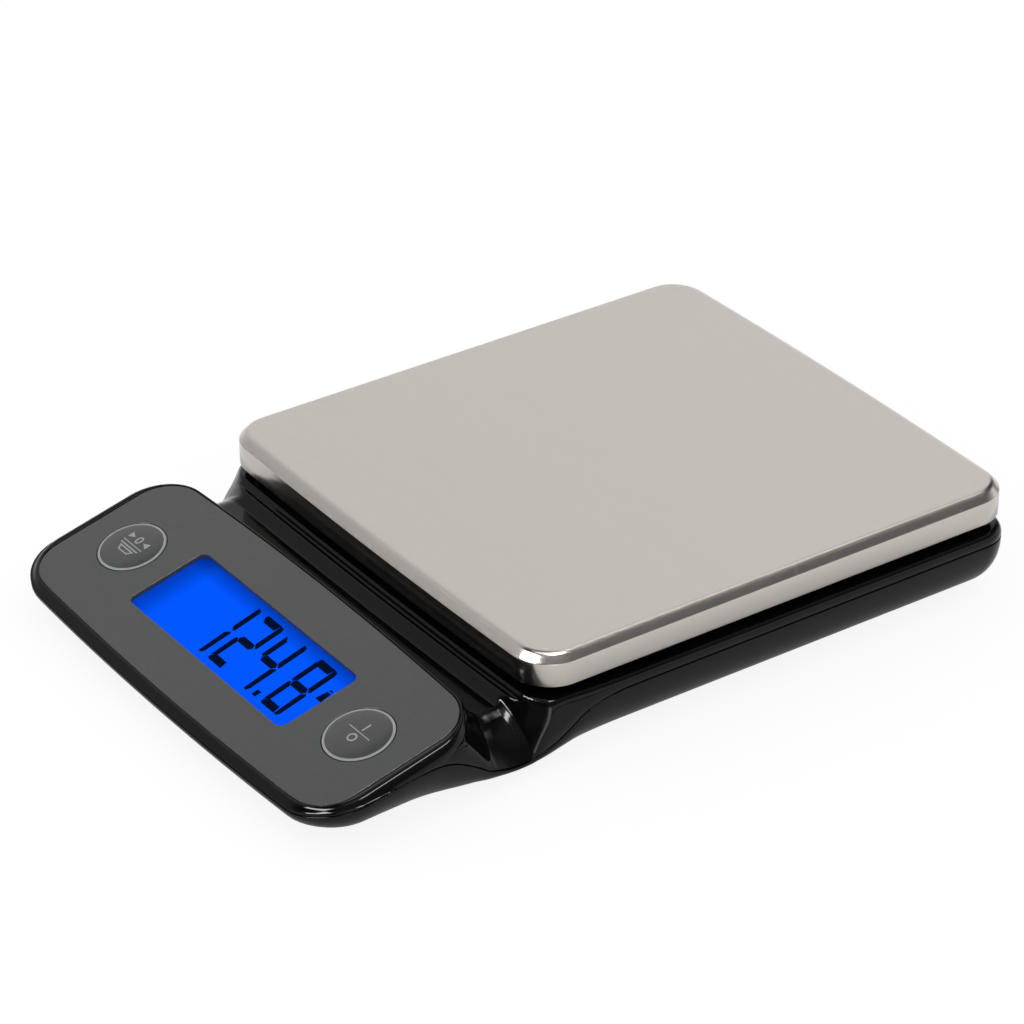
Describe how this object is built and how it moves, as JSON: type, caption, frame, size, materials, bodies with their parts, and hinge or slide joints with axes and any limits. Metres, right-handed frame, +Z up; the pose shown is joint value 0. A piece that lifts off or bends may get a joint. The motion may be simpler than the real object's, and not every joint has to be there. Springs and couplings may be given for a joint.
{
  "type": "kitchen scale",
  "caption": "Battery kitchen scale: a steel weighing platform on a black plastic base, with a tilted panel that holds a blue display and two round buttons.",
  "frame": {"origin": "middle of the base's bounding box, on the surface that the rubber feet stand on", "axes": "+Z up, -Y towards the user and the display panel, +X to the user's right"},
  "size_m": [0.1388, 0.2052, 0.0287],
  "materials": {
    "brushed_steel": "fine brushed",
    "black_gloss_plastic": "gloss",
    "black_plastic": "matte",
    "grey_fascia": "smooth",
    "clear_acrylic": "clear",
    "lcd_blue": "smooth",
    "white_plastic": "satin",
    "board_green": "solder mask",
    "aluminium": "machined",
    "zinc_plated_steel": "zinc plated",
    "nickel_plated_steel": "nickel plated",
    "rubber": "matte",
    "white_silicone": "satin",
    "foam_tape": "matte",
    "battery_wrap": "smooth",
    "red_wire": "satin",
    "black_wire": "satin",
    "grey_cable": "satin"
  },
  "bodies": {
    "base": {"top_housing": "black_gloss_plastic", "bottom_housing": "black_gloss_plastic", "display_fascia": "grey_fascia", "lcd_window": "clear_acrylic", "lcd_glass": "lcd_blue", "backlight": "white_plastic", "lcd_frame": "white_plastic", "zebra_strip": "rubber", "main_board": "board_green", "controller_potting": "black_plastic", "board_screw_left": "zinc_plated_steel", "board_screw_right": "zinc_plated_steel", "tare_switch": "black_plastic", "power_switch": "black_plastic", "load_cell": "aluminium", "lower_spacer": "aluminium", "strain_gauge_cover": "white_silicone", "cell_screw_lower_1": "zinc_plated_steel", "cell_screw_lower_2": "zinc_plated_steel", "stop_screw_front_left": "zinc_plated_steel", "stop_screw_front_right": "zinc_plated_steel", "stop_screw_back_left": "zinc_plated_steel", "stop_screw_back_right": "zinc_plated_steel", "load_cell_cable": "grey_cable", "battery_1": "battery_wrap", "battery_2": "battery_wrap", "battery_spring_1": "nickel_plated_steel", "battery_spring_2": "nickel_plated_steel", "negative_contact": "nickel_plated_steel", "positive_contact": "nickel_plated_steel", "bridge_contact": "nickel_plated_steel", "battery_wire_negative": "black_wire", "battery_wire_positive": "red_wire", "foot_front_left": "rubber", "foot_front_right": "rubber", "foot_back_left": "rubber", "foot_back_right": "rubber", "housing_screw_front_left": "zinc_plated_steel", "housing_screw_front_right": "zinc_plated_steel", "housing_screw_waist_left": "zinc_plated_steel", "housing_screw_waist_right": "zinc_plated_steel", "housing_screw_back_left": "zinc_plated_steel", "housing_screw_back_right": "zinc_plated_steel"},
    "platform": {"steel_platform": "brushed_steel", "platform_carrier": "black_plastic", "platform_tape_left": "foam_tape", "platform_tape_right": "foam_tape", "upper_spacer": "aluminium", "cell_screw_upper_1": "zinc_plated_steel", "cell_screw_upper_2": "zinc_plated_steel"},
    "tare_cap": {"tare_button": "grey_fascia"},
    "power_cap": {"power_button": "grey_fascia"},
    "tare_plunger": {"tare_switch_plunger": "white_plastic"},
    "power_plunger": {"power_switch_plunger": "white_plastic"},
    "door": {"battery_door": "black_gloss_plastic"}
  },
  "joints": [
    {"name": "platform_sink", "type": "slide", "parent": "base", "child": "platform", "axis": [0, 0, -1], "range_m": [0, 0.0003], "stiffness_N_per_m": 20000},
    {"name": "tare_press", "type": "slide", "parent": "base", "child": "tare_cap", "axis": [0, 0.247, -0.969], "range_m": [0, 0.00025], "stiffness_N_per_m": 3000, "springref_m": -0.0002},
    {"name": "power_press", "type": "slide", "parent": "base", "child": "power_cap", "axis": [0, 0.247, -0.969], "range_m": [0, 0.00025], "stiffness_N_per_m": 3000, "springref_m": -0.0002},
    {"name": "tare_plunge", "type": "slide", "parent": "base", "child": "tare_plunger", "axis": [0, 0.247, -0.969], "range_m": [0, 0.00025]},
    {"name": "power_plunge", "type": "slide", "parent": "base", "child": "power_plunger", "axis": [0, 0.247, -0.969], "range_m": [0, 0.00025]},
    {"name": "door_swing", "type": "hinge", "parent": "base", "child": "door", "pos_m": [0, 0.0572, 0.0014], "axis": [1, 0, 0], "range_deg": [0, 75]}
  ],
  "couplings": [
    {"joint": "tare_plunge", "follows": "tare_press", "ratio": 1},
    {"joint": "power_plunge", "follows": "power_press", "ratio": 1}
  ]
}
